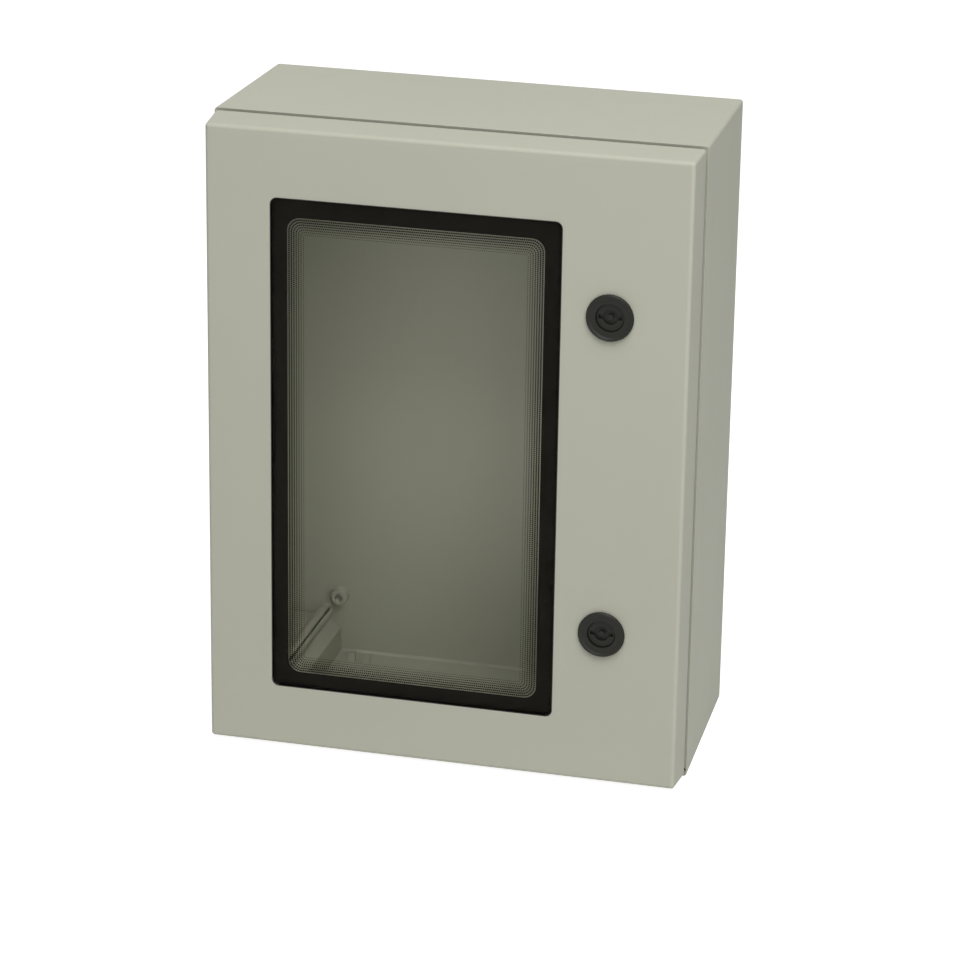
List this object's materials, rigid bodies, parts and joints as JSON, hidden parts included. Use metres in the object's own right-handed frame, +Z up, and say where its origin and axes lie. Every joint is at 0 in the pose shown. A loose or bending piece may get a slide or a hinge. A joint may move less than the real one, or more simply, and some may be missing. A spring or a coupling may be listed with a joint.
{
  "type": "electrical enclosure",
  "caption": "Wall-mounted plastic electrical enclosure with a shallow hinged door, a bonded window with a black printed border, and quarter-turn locks opposite the concealed hinges.",
  "frame": {"origin": "centre of the flat back face that rests on the wall", "axes": "+X to the right seen from the front, +Y into the wall, +Z up"},
  "size_m": [0.3, 0.1525, 0.4],
  "materials": {
    "case_plastic": "fine moulded texture, pebble grey",
    "window_glass": "clear, polished",
    "print_black": "black print behind the pane",
    "bond_black": "black adhesive bed",
    "gasket_foam": "soft black foam rubber",
    "lock_black": "black satin moulding",
    "plated_steel": "zinc-plated"
  },
  "bodies": {
    "case": {"case_shell": "case_plastic", "rim_buffer": "gasket_foam", "hinge_pin_upper": "plated_steel", "hinge_pin_lower": "plated_steel"},
    "door": {"door_panel": "case_plastic", "window_pane": "window_glass", "window_print": "print_black", "window_bond": "bond_black", "door_gasket": "gasket_foam", "hinge_leaf_upper": "plated_steel", "leaf_screws_upper": "plated_steel", "lock_housing_upper": "lock_black", "lock_seal_upper": "gasket_foam", "lock_nut_upper": "lock_black", "hinge_leaf_lower": "plated_steel", "leaf_screws_lower": "plated_steel", "lock_housing_lower": "lock_black", "lock_seal_lower": "gasket_foam", "lock_nut_lower": "lock_black"},
    "upper_lock": {"lock_insert_upper": "lock_black", "lock_cam_upper": "plated_steel", "cam_washer_upper": "plated_steel", "cam_screw_upper": "plated_steel"},
    "lower_lock": {"lock_insert_lower": "lock_black", "lock_cam_lower": "plated_steel", "cam_washer_lower": "plated_steel", "cam_screw_lower": "plated_steel"}
  },
  "joints": [
    {"name": "door_swing", "type": "hinge", "parent": "case", "child": "door", "pos_m": [-0.14213, -0.1327, 0], "axis": [0, 0, -1], "range_deg": [0, 110]},
    {"name": "upper_lock_turn", "type": "hinge", "parent": "door", "child": "upper_lock", "pos_m": [0.1, -0.15, 0.1], "axis": [0, -1, 0], "range_deg": [0, 90]},
    {"name": "lower_lock_turn", "type": "hinge", "parent": "door", "child": "lower_lock", "pos_m": [0.1, -0.15, -0.1], "axis": [0, -1, 0], "range_deg": [0, 90]}
  ]
}
